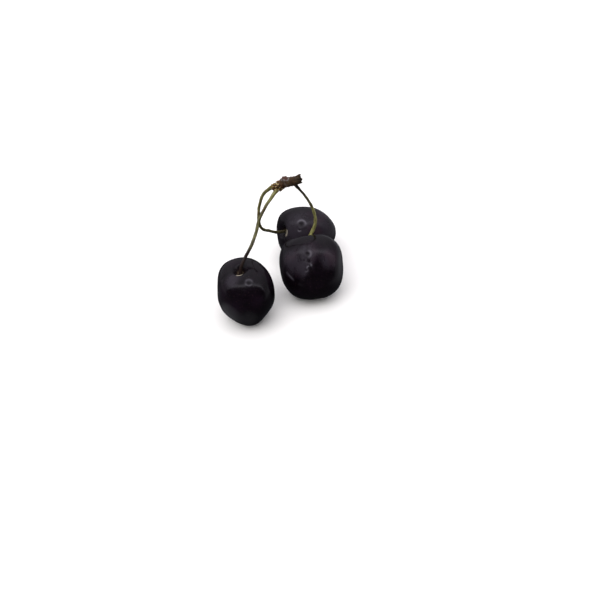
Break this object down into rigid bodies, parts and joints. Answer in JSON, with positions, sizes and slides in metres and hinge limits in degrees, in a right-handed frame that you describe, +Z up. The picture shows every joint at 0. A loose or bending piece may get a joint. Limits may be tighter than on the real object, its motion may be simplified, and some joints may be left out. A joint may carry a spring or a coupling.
{
  "type": "cluster of sweet cherries on stalks",
  "caption": "Cluster of dark sweet cherries on long green stalks that meet in a short woody spur with golden bud scales, lying on a level surface.",
  "frame": {"origin": "on the surface that the cherries lie on, under the middle of the cluster's box", "axes": "+Z up, +Y from the front cherry to the back one, +X towards the spur's broken end"},
  "size_m": [0.0484, 0.0636, 0.0506],
  "materials": {
    "cherry_skin": "gloss",
    "stalk_green": "satin",
    "spur_bark": "matte",
    "bud_scale": "matte"
  },
  "bodies": {
    "root": {"cherry_front": "cherry_skin", "cherry_middle": "cherry_skin", "cherry_back": "cherry_skin", "stalk_front": "stalk_green", "stalk_middle": "stalk_green", "stalk_back": "stalk_green", "spur": "spur_bark", "bud_scales": "bud_scale"}
  },
  "joints": []
}
